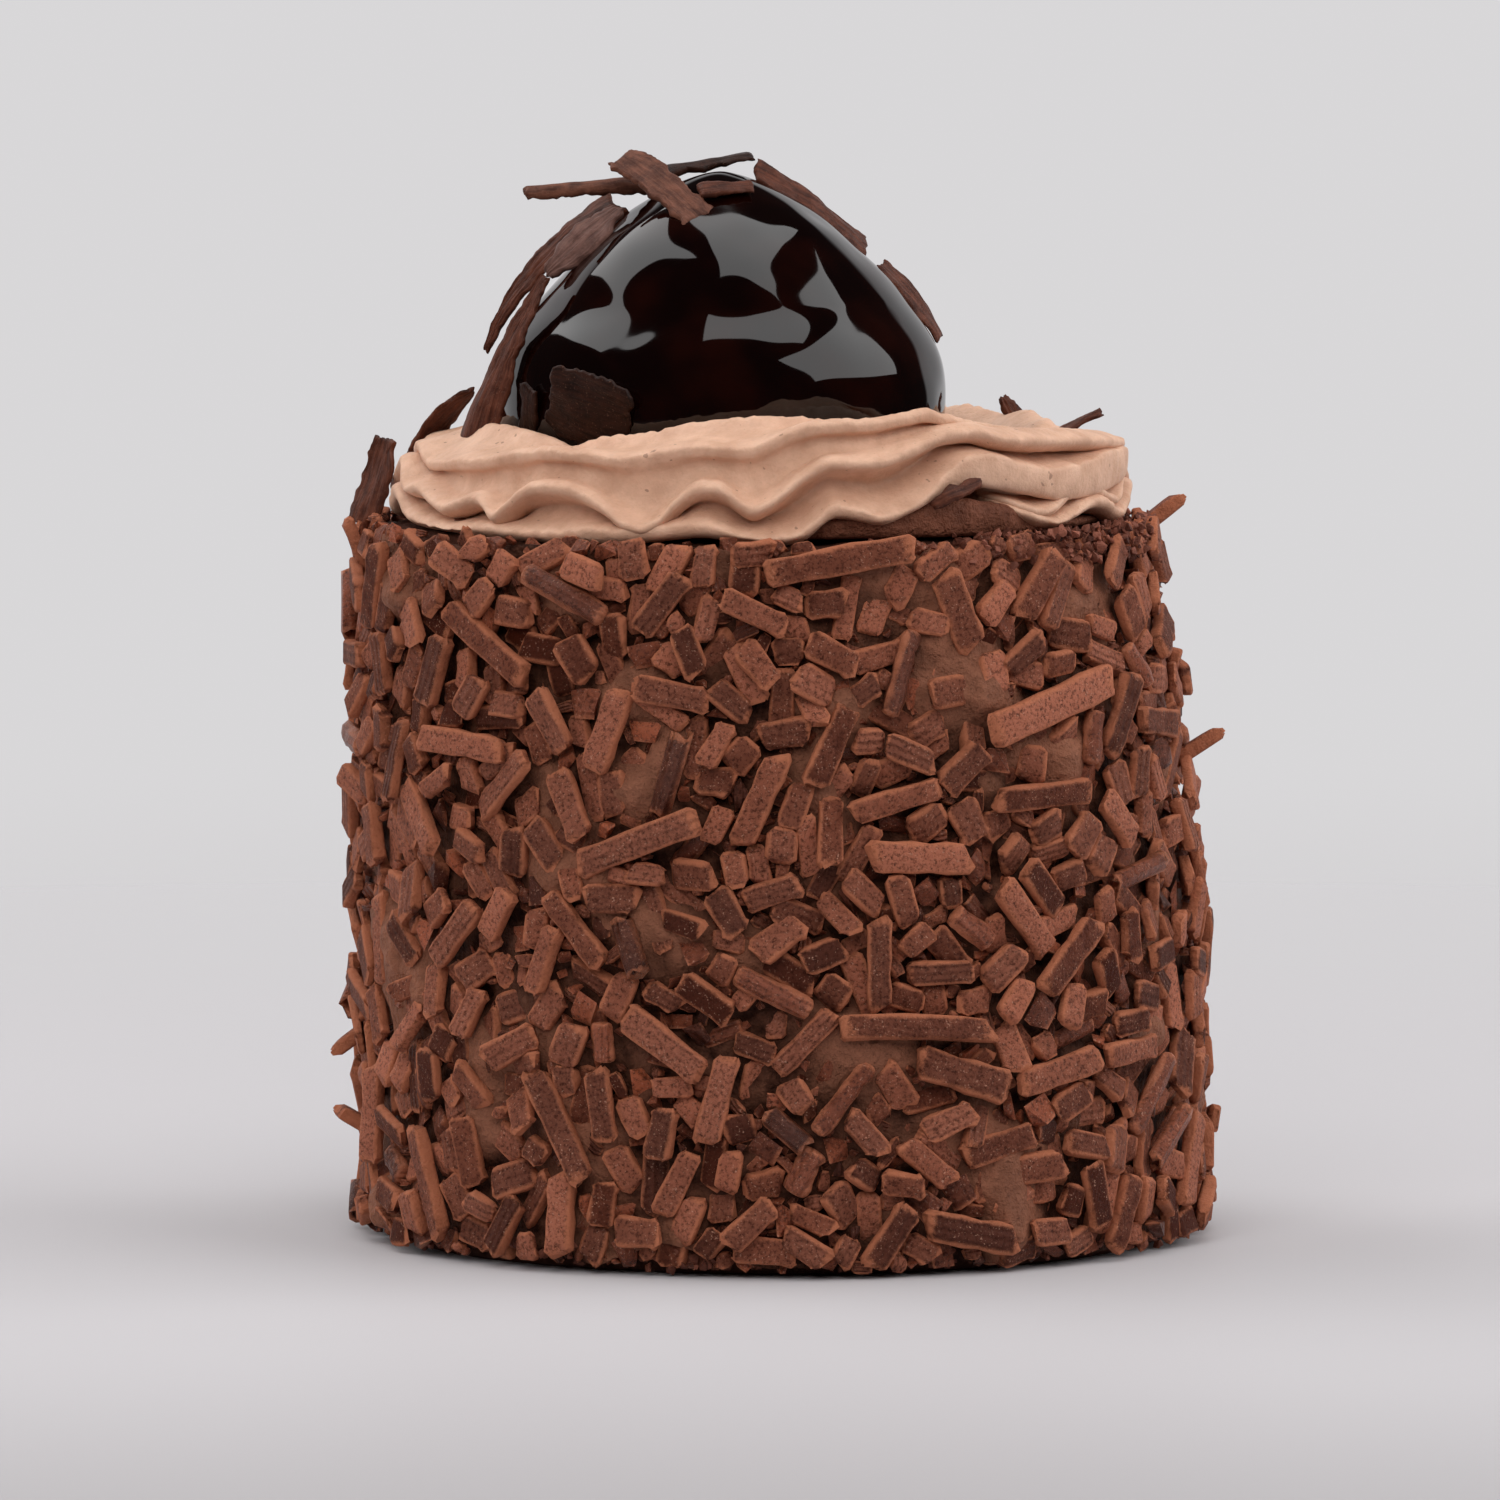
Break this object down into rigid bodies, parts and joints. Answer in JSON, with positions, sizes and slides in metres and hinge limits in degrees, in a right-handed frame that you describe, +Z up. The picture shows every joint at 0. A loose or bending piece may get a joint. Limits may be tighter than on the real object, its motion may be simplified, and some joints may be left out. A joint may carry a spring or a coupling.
{
  "type": "profiterole cake",
  "caption": "Small round chocolate cake set with chocolate flakes, topped with ruffled piped cream, a glazed choux bun and chocolate shavings.",
  "frame": {"origin": "middle of the sponge's flat base, where the cake stands", "axes": "+Z up through the cake, -Y towards the viewer of the picture, +X to the viewer's right"},
  "size_m": [0.083, 0.0807, 0.1005],
  "materials": {
    "flakes": "milk chocolate flakes, matt, with a fine grain",
    "sponge": "dark chocolate sponge crumb, dull and open",
    "chocolate_cream": "chocolate cream, satin, spread with a knife",
    "piped_cream": "pale chocolate whipped cream, soft satin",
    "glaze": "dark chocolate glaze, wet and mirror bright",
    "shavings": "shaved dark chocolate, dull satin with scraped grain"
  },
  "bodies": {
    "root": {"flake_coat": "flakes", "sponge": "sponge", "cream_spread": "chocolate_cream", "choux_bun": "glaze", "piped_cream": "piped_cream", "shaving_strip_top": "shavings", "shaving_quill_left": "shavings", "shaving_strip_crown": "shavings", "shaving_chip_crown": "shavings", "shaving_strip_right_top": "shavings", "shaving_strip_right_side": "shavings", "shaving_leaf_left": "shavings", "shaving_blade_left": "shavings", "shaving_curl_left": "shavings", "shaving_plate_front": "shavings", "shaving_chip_front": "shavings", "shaving_plate_shoulder": "shavings", "shaving_leaf_rear_left": "shavings", "shaving_chip_rear_right": "shavings", "shaving_sliver_right": "shavings", "shaving_sliver_front": "shavings", "shaving_strip_back_right": "shavings", "shaving_leaf_back": "shavings", "shaving_blade_back": "shavings", "shaving_plate_back": "shavings", "shaving_curl_back": "shavings"}
  },
  "joints": []
}
